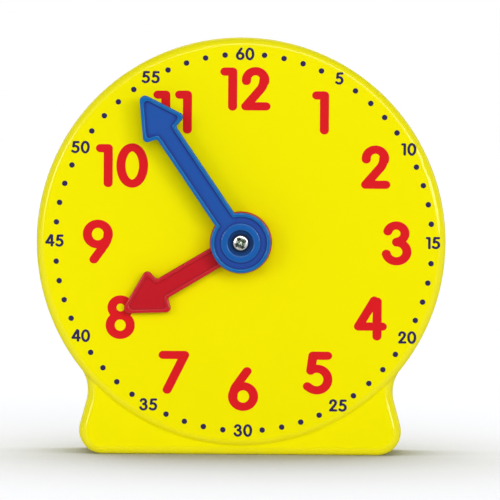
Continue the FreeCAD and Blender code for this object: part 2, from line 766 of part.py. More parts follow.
def make_minute_arbor(phase):
    """The shaft that the long hand turns: front key, pinion, rear journal and screw hole."""
    turn = size("minute_hand_angle")
    teeth = toothed("minute_pinion", "minute_pinion_teeth", "shift_factor", phase, MINUTE_LAYER_BACK)
    shaft = cylinder("arbor_shaft", "arbor_radius", MINUTE_LAYER_FRONT,
                     f"{MINUTE_HAND_BACK} - {MINUTE_LAYER_FRONT}")
    key = key_end("arbor_key", "arbor_radius", "arbor_key_half_width", MINUTE_HAND_BACK,
                  "minute_socket_depth", turn)
    journal_back = f"({CUP_BACK} + cup_floor + axial_play)"
    journal = cylinder("arbor_journal", "journal_radius", journal_back,
                       f"{MINUTE_LAYER_BACK} - {journal_back}")
    solid = joined("arbor_solid", [teeth, shaft, key, journal])
    pilot_back = f"({SCREW_SEAT} - minute_web - centre_screw_grip)"
    pilot = cylinder("arbor_pilot", "centre_screw_thread_radius", pilot_back, "centre_screw_grip")
    return without("minute_arbor", solid, pilot)


def key_end(name, radius, half_width, back, length, turn):
    """A shaft's end with two flats, drawn for a hand that points at an angle."""
    item = doc.addObject("Part::Feature", name)
    outline = Part.Wire([edge.toShape() for edge in double_d(size(radius), size(half_width))])
    solid = Part.Face(outline).extrude(V(0, 0, size(length)))
    solid.rotate(V(0, 0, 0), DIAL_NORMAL, -turn)
    solid.translate(V(0, 0, size(back)))
    item.Shape = solid
    return item


def make_hour_wheel(phase):
    """The large gear with a pipe through the dial, keyed at the front for the short hand."""
    turn = size("hour_hand_angle")
    teeth = toothed("hour_rim", HOUR_WHEEL_TEETH, "-shift_factor", phase, HOUR_WHEEL_BACK)
    recess = ring("hour_recess", f"{HOUR_WHEEL_TIP} - gear_rim - gear_module",
                  f"{PIPE_RADIUS} + gear_hub_wall", f"{HOUR_WHEEL_FRONT} - gear_face + gear_web",
                  "gear_face - gear_web")
    wheel = without("hour_blank", teeth, recess)
    pipe = cylinder("hour_pipe", PIPE_RADIUS, HOUR_WHEEL_FRONT, f"{HOUR_HAND_BACK} - {HOUR_WHEEL_FRONT}")
    key = key_end("hour_key", PIPE_RADIUS, "pipe_key_half_width", HOUR_HAND_BACK, "hour_hand_thickness", turn)
    solid = joined("hour_solid", [wheel, pipe, key])
    bore = cylinder("hour_bore", PIPE_BORE, HOUR_WHEEL_BACK, f"{HOUR_HAND_FRONT} - {HOUR_WHEEL_BACK}")
    return without("hour_wheel", solid, bore)


def make_intermediate_gear(phase):
    """The compound gear below the centre: a wheel at the back and a pinion in front of it."""
    drop = CENTRE_DISTANCE
    wheel = toothed("intermediate_wheel", "intermediate_wheel_teeth", "-shift_factor", phase,
                    MINUTE_LAYER_BACK, drop)
    pinion = toothed("intermediate_pinion", "intermediate_pinion_teeth", "shift_factor", phase,
                     HOUR_WHEEL_BACK, drop)
    neck = cylinder("intermediate_neck", AXLE_PINION_ROOT, MINUTE_LAYER_FRONT, "gear_layer_gap", drop)
    hub_back = f"({COVER_FRONT} + washer_thickness + axial_play)"
    hub = cylinder("intermediate_hub", AXLE_PINION_ROOT, hub_back, f"{MINUTE_LAYER_BACK} - {hub_back}", drop)
    solid = joined("intermediate_solid", [wheel, pinion, neck, hub])
    bore = cylinder("intermediate_bore", AXLE_BORE, hub_back, f"{HOUR_WHEEL_FRONT} - {hub_back}", drop)
    return without("intermediate_gear", solid, bore)


# ---------------------------------------------------------------- bearings, washers and spring

def make_centre_bush():
    """The flanged bearing pressed into the dial from behind."""
    sleeve = cylinder("bush_sleeve", BUSH_RADIUS, BUSH_BACK, f"bush_collar - {BUSH_BACK}")
    flange = cylinder("bush_flange", BUSH_FLANGE_RADIUS, BUSH_BACK, "bush_flange_thickness")
    solid = joined("bush_solid", [sleeve, flange])
    bore = cylinder("bush_bore", BUSH_BORE, BUSH_BACK, f"bush_collar - {BUSH_BACK}")
    return without("centre_bush", solid, bore)


def make_friction_spring():
    """A bowed spring washer that presses the minute arbor forwards and steadies the hands."""
    outer = f"({PINION_ROOT} - washer_gap)"
    blank = ring("spring_blank", outer, "journal_radius + washer_gap", COVER_FRONT, "spring_height")
    half, sag = size(outer), size("spring_height - spring_thickness")
    bow = (half ** 2 + sag ** 2) / (2 * sag)
    shell = doc.addObject("Part::Feature", "spring_bow")
    start = V(-half, 0, size(f"{COVER_FRONT} + spring_height") - bow)
    solid = Part.makeCylinder(bow, 2 * half, start, V(1, 0, 0))
    shell.Shape = solid.cut(Part.makeCylinder(bow - size("spring_thickness"), 2 * half, start, V(1, 0, 0)))
    spring = common("friction_spring", blank, shell)
    spring.Label = "friction_spring"
    return spring


def make_intermediate_axle():
    """The steel pin between the dial and the cover on which the intermediate gear turns."""
    front = f"({BUSH_BACK} + axle_grip)"
    back = f"({CUP_BACK} + cup_floor)"
    pin = cylinder("axle_blank", "axle_radius", back, f"{front} - {back}", CENTRE_DISTANCE)
    doc.recompute()
    ends = [index for index, edge in enumerate(pin.Shape.Edges, start=1) if edge.isClosed()]
    axle = doc.addObject("Part::Chamfer", "intermediate_axle")
    axle.Base = pin
    axle.Edges = [(index, size("axle_chamfer"), size("axle_chamfer")) for index in ends]
    return axle


# ---------------------------------------------------------------- the whole clock

minute_phase, intermediate_phase, hour_phase = train_phases()
minute_turn = size("minute_hand_angle")
hour_turn = size("hour_hand_angle")
gear_bore_gap = "axle_radius + washer_gap"
axle_washer_rim = f"({AXLE_PINION_ROOT} - running_clearance)"

nodes = {
    "clock_body": (make_clock_body(), 0.0),
    "gear_cover": (make_gear_cover(), 0.0),
    "centre_bush": (make_centre_bush(), 0.0),
    "intermediate_axle": (make_intermediate_axle(), 0.0),
    "friction_spring": (make_friction_spring(), 0.0),
    "hour_thrust_washer": (
        ring("hour_thrust_washer", f"{BUSH_FLANGE_RADIUS} - washer_gap", f"{PIPE_RADIUS} + washer_gap",
             f"{BUSH_BACK} - washer_thickness", "washer_thickness"), 0.0),
    "arbor_thrust_washer": (
        ring("arbor_thrust_washer", f"{PINION_ROOT} - washer_gap", "journal_radius + washer_gap",
             SPRING_FRONT, "washer_thickness"), 0.0),
    "front_axle_washer": (
        ring("front_axle_washer", axle_washer_rim, gear_bore_gap,
             f"{BUSH_BACK} - washer_thickness", "washer_thickness", CENTRE_DISTANCE), 0.0),
    "rear_axle_washer": (
        ring("rear_axle_washer", axle_washer_rim, gear_bore_gap,
             COVER_FRONT, "washer_thickness", CENTRE_DISTANCE), 0.0),
    "hand_spacer": (
        ring("hand_spacer", "hour_boss_radius - spacer_margin", "arbor_radius + washer_gap",
             SPACER_BACK, "washer_thickness"), 0.0),
    "intermediate_gear": (make_intermediate_gear(intermediate_phase), 0.0),
    "hour_wheel": (make_hour_wheel(hour_phase), 0.0),
    "hour_hand": (make_hour_hand(), hour_turn),
    "minute_arbor": (make_minute_arbor(minute_phase), 0.0),
    "minute_hand": (make_minute_hand(), minute_turn),
}
for label, (item, turn) in nodes.items():
    item.Label = label
    item.Placement = place(turn)

centre_screw = make_screw("minute_hand_screw", "centre_screw", "minute_web + centre_screw_grip")
centre_screw.Placement = place(minute_turn) * FreeCAD.Placement(V(0, 0, size(SCREW_SEAT)), FreeCAD.Rotation())
nodes["minute_hand_screw"] = (centre_screw, minute_turn)

backwards = FreeCAD.Rotation(V(1, 0, 0), 180)
screw_names = ("upper_right", "upper_left", "lower_left", "lower_right")
for name, (x, y) in zip(screw_names, post_places()):
    screw = make_screw(f"cover_screw_{name}", "cover_screw", "cover_thickness + cover_screw_grip")
    screw.Placement = place() * FreeCAD.Placement(V(x, y, size(COVER_BACK)), backwards)
    nodes[screw.Label] = (screw, 0.0)

doc.recompute()
for item in doc.Objects:
    if {"Invalid", "Error"} & set(item.State):
        raise RuntimeError(f"{item.Label} failed to recompute")

os.makedirs("parts", exist_ok=True)
for label, (item, turn) in nodes.items():
    if item.Shape.isNull() or not item.Shape.isValid() or not item.Shape.Solids:
        raise RuntimeError(f"{label} has no valid solid")
    item.Shape.exportStep(f"parts/{label}.step")
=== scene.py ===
"""Looks of the geared teaching clock: printed dial, moulded finishes, screws, table and studio light.

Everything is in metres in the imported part's frame. Sizes on the dial are given in millimetres in
the dial's own plane: across to the viewer's right, up towards twelve, out towards the viewer.
"""

import json
import math

import bmesh
import bpy
from mathutils import Matrix, Vector
from mathutils.geometry import delaunay_2d_cdt


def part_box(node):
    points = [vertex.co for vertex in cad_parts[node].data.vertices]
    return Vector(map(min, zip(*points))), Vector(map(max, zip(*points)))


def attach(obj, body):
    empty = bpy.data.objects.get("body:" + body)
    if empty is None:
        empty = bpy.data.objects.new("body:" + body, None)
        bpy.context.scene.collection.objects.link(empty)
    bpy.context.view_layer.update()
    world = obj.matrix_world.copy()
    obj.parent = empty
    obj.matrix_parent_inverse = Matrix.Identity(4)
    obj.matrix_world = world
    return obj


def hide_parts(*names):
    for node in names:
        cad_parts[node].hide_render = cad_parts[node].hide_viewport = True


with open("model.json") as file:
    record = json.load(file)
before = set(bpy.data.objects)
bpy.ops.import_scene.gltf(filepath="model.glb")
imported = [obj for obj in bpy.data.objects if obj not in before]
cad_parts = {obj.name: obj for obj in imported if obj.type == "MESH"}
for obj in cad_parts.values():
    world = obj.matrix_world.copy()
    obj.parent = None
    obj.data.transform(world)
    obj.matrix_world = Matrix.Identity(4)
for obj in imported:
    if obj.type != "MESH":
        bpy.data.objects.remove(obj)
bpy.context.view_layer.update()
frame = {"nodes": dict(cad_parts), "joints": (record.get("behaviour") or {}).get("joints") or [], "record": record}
nodes = frame["nodes"]
hinge = {joint["name"]: Vector(joint["pos_m"]) for joint in frame["joints"]}

MM = 0.001
DIAL = hinge["minute_turn"]  # the middle of the dial's face
INK_HEIGHT = 0.045  # how far the print stands out of the dial
INK_DEPTH = 0.01  # how far it reaches into the dial
INK_SHIFT = (0.65, -0.12)  # how far the print sits from the middle, across and up
KEEP_SHARP = math.radians(32)  # edges that bend more than this stay sharp


def from_dial(across, up, out=0.0):
    """The place in metres of a point that is given in millimetres on the dial."""
    return Vector((DIAL.x + across * MM, DIAL.y - out * MM, DIAL.z + up * MM))


def screen(red, green, blue):
    """The linear colour of an 8-bit screen colour."""
    parts = [part / 255 for part in (red, green, blue)]
    return tuple(p / 12.92 if p <= 0.04045 else ((p + 0.055) / 1.055) ** 2.4 for p in parts) + (1.0,)


# ---------------------------------------------------------------- wiring of the finishes


class Strand:
    """One value in a finish. Arithmetic on it adds the Math nodes that work it out."""

    def __init__(self, finish, socket):
        self.finish = finish
        self.socket = socket

    def math(self, operation, *values):
        return self.finish.node("ShaderNodeMath", {"operation": operation}, dict(enumerate(values)))

    def __add__(self, other):
        return self.math("ADD", self, other)

    def __radd__(self, other):
        return self.math("ADD", other, self)

    def __sub__(self, other):
        return self.math("SUBTRACT", self, other)

    def __rsub__(self, other):
        return self.math("SUBTRACT", other, self)

    def __mul__(self, other):
        return self.math("MULTIPLY", self, other)

    def __truediv__(self, other):
        return self.math("DIVIDE", self, other)

    def __pow__(self, other):
        return self.math("POWER", self, other)

    def root(self):
        return self.math("SQRT", self)

    def size(self):
        return self.math("ABSOLUTE", self)

    def most(self, other):
        return self.math("MAXIMUM", self, other)

    def ramp(self, low, high):
        """0 up to low and 1 from high on, with a soft start and end. With high below low, 1 turns to 0."""
        if high < low:
            return 1.0 - self.ramp(high, low)
        return self.finish.node("ShaderNodeMapRange", {"interpolation_type": "SMOOTHSTEP"},
                                {"Value": self, "From Min": low, "From Max": high})


class Finish:
    """The nodes of one material or world."""

    def __init__(self, owner):
        owner.use_nodes = True
        self.owner = owner
        self.tree = owner.node_tree
        self.tree.nodes.clear()

    def node(self, kind, settings=None, sockets=None, output=0):
        """Adds a node, sets its settings, then its sockets' values or links, and gives an output."""
        made = self.tree.nodes.new(kind)
        for name, value in (settings or {}).items():
            setattr(made, name, value)
        for name, value in (sockets or {}).items():
            if isinstance(value, Strand):
                self.tree.links.new(value.socket, made.inputs[name])
            else:
                made.inputs[name].default_value = value
        return Strand(self, made.outputs[output]) if made.outputs else None

    def place(self):
        """The position on the piece, which stays with the piece as it moves."""
        return self.node("ShaderNodeTexCoord", output="Object")

    def direction(self):
        """The way that the surface faces, before any bump."""
        return self.node("ShaderNodeNewGeometry", output="Normal")

    def split(self, vector):
        """The vector's three parts."""
        first = self.node("ShaderNodeSeparateXYZ", sockets={"Vector": vector})
        outputs = first.socket.node.outputs
        return [Strand(self, outputs[name]) for name in "XYZ"]

    def noise(self, vector, grain, detail=2.0, roughness=0.5):
        """Noise from 0 to 1 whose patches are about grain metres across."""
        return self.node("ShaderNodeTexNoise", None, {
            "Vector": vector, "Scale": 1.0 / grain, "Detail": detail, "Roughness": roughness})

    def stretched(self, vector, across, deep, up):
        """The vector with each part multiplied, so that a pattern gets longer where the number is small."""
        return self.node("ShaderNodeMapping", None, {"Vector": vector, "Scale": (across, deep, up)})

    def tint(self, mask, first, second):
        """The first colour where mask is 0 and the second where it is 1."""
        return self.node("ShaderNodeMix", {"data_type": "RGBA"}, {0: mask, 6: first, 7: second}, output=2)

    def bump(self, height, distance, under=None):
        """The surface's direction on a relief whose height 1 is distance metres, on top of under."""
        sockets = {"Height": height, "Distance": distance, "Strength": 1.0}
        if under is not None:
            sockets["Normal"] = under
        return self.node("ShaderNodeBump", None, sockets)

    def soft_edge(self, radius, samples=6):
        """The surface's direction, with every sharp edge and inner corner rounded over by radius."""
        return self.node("ShaderNodeBevel", {"samples": samples}, {"Radius": radius})

    def wear_and_highlight_edge(self, soft):
        """1 along sharp outer and inner edges, 0 on flats."""
        likeness = self.node("ShaderNodeVectorMath", {"operation": "DOT_PRODUCT"},
                             {0: soft, 1: self.direction()}, output="Value")
        return (1.0 - likeness).ramp(0.008, 0.12)

    def rounding(self):
        """1 on rounded edges, 0 on faces square to the front and on side walls."""
        facing = self.split(self.direction())[1].size()
        return facing.ramp(0.999, 0.975) * facing.ramp(0.25, 0.7)

    def crevice(self, reach, samples=8, alone=True):
        """1 deep in a corner or pocket, 0 where nothing (alone: nothing of this piece) is within reach."""
        open_air = self.node("ShaderNodeAmbientOcclusion", {"samples": samples, "only_local": alone},
                             {"Distance": reach}, output="AO")
        return 1.0 - open_air

    def surface(self, **sockets):
        """Ends the material in a Principled shader. Names are the sockets' own, with _ for a space."""
        shader = self.node("ShaderNodeBsdfPrincipled", None,
                           {name.replace("_", " "): value for name, value in sockets.items()})
        self.node("ShaderNodeOutputMaterial", None, {"Surface": shader})
        return self.owner


def finish(name):
    return Finish(bpy.data.materials.new(name))


def groove_shade(colour):
    """The colour darkened by painted shade, as in a narrow groove."""
    return tuple(part * 0.55 for part in colour[:3]) + (1.0,)


def from_point(x, z, across, up):
    """How far x and z are from the line through a point of the dial, in millimetres."""
    return ((x - (DIAL.x + across * MM)) ** 2.0 + (z - (DIAL.z + up * MM)) ** 2.0).root() / MM


def pin_rings(made, spot, places):
    """1 along the 2 mm rings that ejector pins leave on faces turned to the back."""
    x, _, z = made.split(spot)
    behind = made.split(made.direction())[1].ramp(0.9, 0.98)
    rings = behind * 0.0
    for across, up in places:
        away = from_point(x, z, across, up)
        rings = rings.most(away.ramp(1.75, 1.9) * away.ramp(2.2, 2.05))
    return rings * behind


def moulded_yellow(name, face, shade, texture, dull, coat, pins):
    """Glossy moulded plastic: orange peel, faint flow streaks, dull worn edges with a painted highlight line, and
    ejector pin rings with painted shade in their grooves.

    Texture is the height of the finest grain, dull the roughness, and coat the gloss of rounded edges."""
    made = finish(name)
    spot = made.place()
    cloud = made.noise(spot, 0.022, 3.0)
    flow = made.noise(made.stretched(spot, 1.0, 1.0, 0.25), 0.006, 2.0)
    grain = made.noise(spot, 0.00035, 2.0)
    peel = made.noise(spot, 0.0016, 1.0)
    scuff = made.noise(spot, 0.0035, 4.0, 0.65).ramp(0.6, 0.72)
    soft = made.soft_edge(0.0009, 8)
    edge = made.wear_and_highlight_edge(made.soft_edge(0.0003)) * (1.0 - made.rounding())
    colour = made.tint((cloud - 0.5) * 0.8 + 0.5, face, shade)
    colour = made.tint(flow.ramp(0.4, 0.9) * 0.12, colour, shade)
    # Painted highlight: a thin light line along sharp edges.
    colour = made.tint(edge * 0.12, colour, screen(250, 243, 80))
    roughness = dull + (cloud - 0.5) * 0.06 + scuff * 0.07 + edge * 0.08
    rings = pin_rings(made, spot, pins)
    # Painted shade in the grooves of the ejector pin rings.
    colour = made.tint(rings * 0.22, colour, groove_shade(shade))
    relief = made.bump(peel, 0.000006, under=soft)
    relief = made.bump(1.0 - rings, 0.00004, under=relief)
    relief = made.bump(grain, texture, under=relief)
    return made.surface(Base_Color=colour, Roughness=roughness, Normal=relief,
                        Specular_IOR_Level=0.015, IOR=1.5,
                        Coat_Weight=made.rounding() * coat, Coat_Roughness=0.14, Coat_IOR=1.5)


def moulded_hand(name, colour, deep, bright, edge_highlight, bore, top):
    """Glossy coloured plastic: brighter rims, painted shade along the pocket's walls and in the bore, and a
    painted highlight line along sharp edges.

    Top is how far the rims stand out of the dial in millimetres."""
    made = finish(name)
    spot = made.place()
    cloud = made.noise(spot, 0.009, 2.0)
    grain = made.noise(spot, 0.0003, 2.0)
    peel = made.noise(spot, 0.0012, 1.0)
    scuff = made.noise(spot, 0.0022, 4.0, 0.65).ramp(0.6, 0.74)
    soft = made.soft_edge(0.0005, 8)
    edge = made.wear_and_highlight_edge(made.soft_edge(0.00018))
    corner = made.crevice(0.0013)
    x, y, z = made.split(spot)
    out = (DIAL.y - y) / MM
    from_axis = from_point(x, z, 0.0, 0.0)
    # Painted shade: darker into the pockets' corners and along their walls.
    face = made.tint(corner.ramp(0.08, 0.42), colour, deep)
    face = made.tint(cloud.ramp(0.3, 0.8) * 0.12, face, deep)
    face = made.tint(out.ramp(top - 0.35, top - 0.05), face, bright)
    # Painted highlight: a light line along sharp edges.
    face = made.tint(edge * 0.3, face, edge_highlight)
    # Painted shade in the bore, lighter towards its rim.
    painted_bore_shade = made.tint(from_axis.ramp(2.0, 2.9) * 0.42, bore, bright)
    face = made.tint(from_axis.ramp(3.2, 2.9) * out.ramp(top - 0.3, top - 0.6), face, painted_bore_shade)
    roughness = 0.24 + (cloud - 0.5) * 0.06 + scuff * 0.1 + edge * 0.05
    relief = made.bump(peel, 0.000004, under=soft)
    relief = made.bump(grain, 0.0000010, under=relief)
    return made.surface(Base_Color=face, Roughness=roughness, Normal=relief,
                        Specular_IOR_Level=0.03, IOR=1.5,
                        Coat_Weight=made.rounding() * 0.85, Coat_Roughness=0.1, Coat_IOR=1.6)


def printed_ink(name, colour, thin):
    """Screen-printed ink: nearly even, a little thinner in specks and slightly pebbled."""
    made = finish(name)
    spot = made.place()
    speck = made.noise(spot, 0.0004, 3.0, 0.6)
    cloud = made.noise(spot, 0.008, 2.0)
    face = made.tint(speck.ramp(0.62, 0.8) * 0.35 + cloud * 0.12, colour, thin)
    relief = made.bump(speck, 0.000003)
    return made.surface(Base_Color=face, Roughness=0.5 + (speck - 0.5) * 0.12, Normal=relief,
                        Specular_IOR_Level=0.04, IOR=1.5)


def natural_plastic(name, colour, shade):
    """Unpainted gear and bearing plastic: waxy and matt, a little cloudy and darker along its edges."""
    made = finish(name)
    spot = made.place()
    cloud = made.noise(spot, 0.004, 3.0)
    grain = made.noise(spot, 0.00025, 2.0)
    edge = made.wear_and_highlight_edge(made.soft_edge(0.0002))
    face = made.tint(cloud.ramp(0.3, 0.8) * 0.6 + edge * 0.3, colour, shade)
    relief = made.bump(grain, 0.000002)
    return made.surface(Base_Color=face, Roughness=0.48 + (cloud - 0.5) * 0.12, Normal=relief,
                        Specular_IOR_Level=0.35, IOR=1.48)


def plain_metal(name, colour, shade, dull, brushed):
    """Plated or ground steel: fine lines, a painted mottled reflection, a painted highlight along sharp edges, and
    painted shade in the hollows, speckled with painted glints.

    Dull is the roughness. Brushed is 1 for even lines and less for lines drawn out along the depth."""
    made = finish(name)
    spot = made.place()
    cloud = made.noise(spot, 0.0009, 3.0)
    lines = made.noise(made.stretched(spot, 1.0, brushed, 1.0), 0.00006, 2.0)
    edge = made.wear_and_highlight_edge(made.soft_edge(0.00012))
    painted_recess_shade = made.crevice(0.0012)
    painted_glint_speckle = made.noise(spot, 0.0003, 2.0, 0.7).ramp(0.46, 0.6)
    # Painted reflection: a mottle of light and dark patches.
    face = made.tint(cloud.ramp(0.45, 0.6) * 0.5, colour, shade)
    # Painted highlight: sharp edges lit nearly white.
    face = made.tint(edge * 0.4, face, screen(250, 252, 246))
    # Painted shade in the hollows, speckled with painted glints, and near black deepest in.
    cut = made.tint(painted_glint_speckle, screen(22, 34, 22), screen(158, 174, 148))
    face = made.tint(painted_recess_shade.ramp(0.03, 0.1), face, cut)
    face = made.tint(painted_recess_shade.ramp(0.35, 0.6), face, screen(10, 18, 12))
    roughness = dull + (cloud - 0.5) * 0.12 + (lines - 0.5) * 0.08
    relief = made.bump(lines, 0.0000008)
    return made.surface(Base_Color=face, Roughness=roughness, Metallic=1.0, Normal=relief)


yellow_shell = moulded_yellow(
    "yellow_shell_moulded", screen(245, 236, 0), screen(243, 233, 0), texture=0.0000008, dull=0.42, coat=0.8,
    pins=[(side * across, up) for across, up in ((33, 16), (14, 31), (34, -14), (28, -40))
          for side in (-1, 1)])
yellow_cover = moulded_yellow(
    "yellow_cover_moulded", screen(240, 229, 6), screen(234, 222, 8), texture=0.000004, dull=0.46, coat=0.6,
    pins=[(side * 7, up) for up in (10, -30) for side in (-1, 1)])
# The darker tones of each hand are painted shade in its pockets and bore; the lightest is a painted highlight line
# along its edges.
blue_plastic = moulded_hand(
    "blue_hand_moulded", screen(34, 84, 166), deep=screen(44, 64, 148), bright=screen(4, 100, 174),
    edge_highlight=screen(60, 135, 205), bore=screen(26, 36, 72), top=7.3)
red_plastic = moulded_hand(
    "red_hand_moulded", screen(192, 25, 38), deep=screen(184, 24, 38), bright=screen(198, 26, 40),
    edge_highlight=screen(238, 96, 106), bore=screen(120, 16, 24), top=3.0)
red_ink = printed_ink("red_numeral_ink", screen(219, 24, 33), screen(222, 40, 30))
indigo_ink = printed_ink("indigo_minute_ink", screen(46, 38, 84), screen(60, 50, 80))
gear_plastic = natural_plastic("gear_acetal", screen(236, 235, 230), screen(222, 220, 212))
bearing_plastic = natural_plastic("bearing_nylon", screen(222, 220, 208), screen(205, 202, 188))
nickel = plain_metal("nickel_plate", screen(232, 234, 228), screen(150, 156, 146), dull=0.2, brushed=1.0)
ground_steel = plain_metal("ground_steel_pin", screen(190, 190, 190), screen(160, 160, 162),
                           dull=0.3, brushed=0.05)
spring_steel = plain_metal("spring_steel_temper", screen(150, 148, 146), screen(120, 116, 112),
                           dull=0.34, brushed=0.3)

SLOT_FINISH = {"yellow_shell": yellow_shell, "yellow_cover": yellow_cover, "blue_hand": blue_plastic,
               "red_hand": red_plastic, "gear_plastic": gear_plastic, "bearing_plastic": bearing_plastic,
               "plated_screw": nickel, "steel_pin": ground_steel, "spring_steel": spring_steel}
for subpart in frame["record"]["subparts"]:
    node = nodes[subpart["node"]]
    node.data.materials.clear()
    node.data.materials.append(SLOT_FINISH[subpart["material_slot"]])


# ---------------------------------------------------------------- the print on the dial

ARC_STEP = 7.5  # degrees from point to point along an arc
CAP_STEPS = 12  # parts of the half circle at the pen's ends
CORNER = math.radians(25)  # the pen's run is cut where it bends more than this
TOGETHER = 0.01  # points nearer than this are one


def arc(across, up, half_width, half_height, start, end):
    """Points on an ellipse, anticlockwise from start to end in degrees."""
    steps = max(3, math.ceil(abs(end - start) / ARC_STEP))
    turns = [math.radians(start + (end - start) * step / steps) for step in range(steps + 1)]
    return [(across + half_width * math.cos(turn), up + half_height * math.sin(turn)) for turn in turns]


# The pen's runs in each digit, in millimetres about the digit's middle, for the hour numerals.
DIGITS = {
    "0": [arc(0, 0, 2.75, 4.41, 90, 450)],
    "1": [[(-1.92, 4.26), (-0.07, 4.26)], [(0, 4.26), (0, -4.21)]],
    "2": [arc(-0.1, 2.07, 2.24, 2.17, 186, -12) + arc(-1.78, 2.12, 3.68, 3.68, 0, -38.4)
          + [(-2.46, -4.29)], [(-2.46, -4.29), (2.46, -4.29)]],
    "3": [arc(-0.15, 2.41, 2.12, 1.95, 165, -75), [(-0.05, 0.39), (0.29, 0.44)],
          arc(-0.07, -2.05, 2.53, 2.29, 90, -168)],
    "4": [[(1.58, 4.14), (1.58, -4.34)], [(0.88, 4.38), (-2.92, -1.9)], [(-2.92, -1.95), (2.87, -1.95)]],
    "5": [[(2.36, 4.24), (-1.22, 4.24), (-1.73, 0.58)], arc(-0.24, -1.56, 2.68, 2.63, 121, -124),
          [(-1.8, -3.73), (-2.53, -3.22)]],
    "6": [arc(0.02, -1.75, 2.56, 2.51, 0, 360),
          [(0.95, 4.41), (-1.02, 1.73)] + arc(2.53, -1.75, 4.95, 4.82, 136, 180)],
    "7": [[(-2.63, 4.29), (2.61, 4.29), (-1.61, -4.19)]],
    "8": [arc(0.05, 2.34, 2.07, 1.95, 0, 360), arc(0, -1.95, 2.44, 2.39, 0, 360)],
    "9": [arc(-0.02, 1.75, 2.56, 2.51, 0, 360),
          [(-0.95, -4.41), (1.02, -1.73)] + arc(-2.53, 1.75, 4.95, 4.82, -44, 0)],
}
PEN = (1.1, 1.0)  # half the pen's width and height
SMALL = 0.286  # size of the minute numerals against the hour numerals

# Each digit with its middle's place on the dial, before the print's shift.
HOURS = [("1", 19.42, 31.63), ("2", 31.98, 18.59), ("3", 37.21, 0.07), ("4", 30.96, -18.24),
         ("5", 18.23, -31.61), ("6", 0.07, -35.67), ("7", -16.79, -31.7), ("8", -29.9, -18.29),
         ("9", -35.43, 0.12),
         ("1", -33.03, 18.49), ("0", -27.19, 18.59), ("1", -19.13, 31.58), ("1", -13.86, 31.61),
         ("1", -2.9, 37.28), ("2", 2.76, 37.44)]
MINUTES = [("5", 22.98, 40.03), ("1", 38.97, 22.9), ("0", 40.7, 22.93), ("1", 45.11, 0.2), ("5", 46.73, 0.21),
           ("2", 38.69, -22.76), ("0", 40.99, -22.79), ("2", 22.02, -39.41), ("5", 24.3, -39.48),
           ("3", -1.12, -45.7), ("0", 1.26, -45.7), ("3", -24.12, -39.48), ("5", -21.8, -39.52),
           ("4", -40.6, -22.83), ("0", -38.3, -22.87), ("4", -47.09, 0.29), ("5", -44.78, 0.22),
           ("5", -41.01, 22.97), ("0", -38.63, 22.98), ("5", -24.0, 40.07), ("5", -21.65, 40.07),
           ("6", -1.13, 45.85), ("0", 1.22, 45.85)]


def smooth_runs(points):
    """The pen's run cut at its corners, and in half where it comes back to its start."""
    runs, run = [], [points[0]]
    for before, point, after in zip(points, points[1:], points[2:] + [None]):
        run.append(point)
        if after is None:
            break
        first = math.atan2(point[1] - before[1], point[0] - before[0])
        second = math.atan2(after[1] - point[1], after[0] - point[0])
        if abs((second - first + math.pi) % (2 * math.pi) - math.pi) > CORNER:
            runs.append(run)
            run = [point]
    runs.append(run)
    if len(runs) == 1 and math.dist(points[0], points[-1]) < TOGETHER:
        half = len(points) // 2
        runs = [points[:half + 1], points[half:]]
    return runs


def pen_outline(run, size):
    """The outline of one run of the pen, with round ends."""
    wide, tall = PEN
    path = [Vector((x, y * wide / tall)) for x, y in run]
    path = [p for i, p in enumerate(path) if i == 0 or (p - path[i - 1]).length > TOGETHER]
    sides = []
    for i, point in enumerate(path):
        ahead = path[min(i + 1, len(path) - 1)] - path[max(i - 1, 0)]
        ahead.normalize()
        sides.append(Vector((-ahead.y, ahead.x)) * wide)
    cap = [math.pi * step / CAP_STEPS for step in range(1, CAP_STEPS)]

    def round_end(middle, side):
        return [middle + Matrix.Rotation(-turn, 2) @ side for turn in cap]

    left = [p + s for p, s in zip(path, sides)]
    right = [p - s for p, s in zip(path, sides)]
    loop = left + round_end(path[-1], sides[-1]) + right[::-1] + round_end(path[0], -sides[0])
    return [Vector((p.x * size, p.y * tall / wide * size)) for p in reversed(loop)]


def printed(name, outlines, material):
    """A thin closed film of ink over the union of some outlines on the dial."""
    corners, loops = [], []
    for outline in outlines:
        loops.append(list(range(len(corners), len(corners) + len(outline))))
        corners += outline
    points, _, triangles, _, _, covers = delaunay_2d_cdt(corners, [], loops, 0, 1e-5)
    inked = [t for t, cover in zip(triangles, covers) if cover]
    mesh = bmesh.new()
    top = [mesh.verts.new(from_dial(p.x, p.y, INK_HEIGHT)) for p in points]
    under = [mesh.verts.new(from_dial(p.x, p.y, -INK_DEPTH)) for p in points]
    sides = set()
    for corner in inked:
        mesh.faces.new([top[i] for i in corner])
        mesh.faces.new([under[i] for i in reversed(corner)])
        sides |= {(corner[i], corner[(i + 1) % 3]) for i in range(3)}
    for a, b in sides:
        if (b, a) not in sides:
            mesh.faces.new([top[b], top[a], under[a], under[b]])
    bmesh.ops.delete(mesh, geom=[v for v in mesh.verts if not v.link_faces], context="VERTS")
    return settle(name, mesh, material)


def settle(name, mesh, material, smooth=False):
    """A finished piece from a mesh under construction, with its place in the mesh."""
    data = bpy.data.meshes.new(name)
    mesh.to_mesh(data)
    mesh.free()
    data.materials.append(material)
    for face in data.polygons:
        face.use_smooth = smooth
    piece = bpy.data.objects.new(name, data)
    bpy.context.scene.collection.objects.link(piece)
    return piece


def numerals(name, places, size, material):
    """One film of ink for all digits of a set."""
    outlines = []
    for digit, across, up in places:
        middle = Vector((across + INK_SHIFT[0], up + INK_SHIFT[1]))
        for stroke in DIGITS[digit]:
            for run in smooth_runs(stroke):
                outlines.append([point + middle for point in pen_outline(run, size)])
    return printed(name, outlines, material)


hour_numerals = numerals("hour_numerals", HOURS, 1.0, red_ink)
minute_numerals = numerals("minute_numerals", MINUTES, SMALL, indigo_ink)


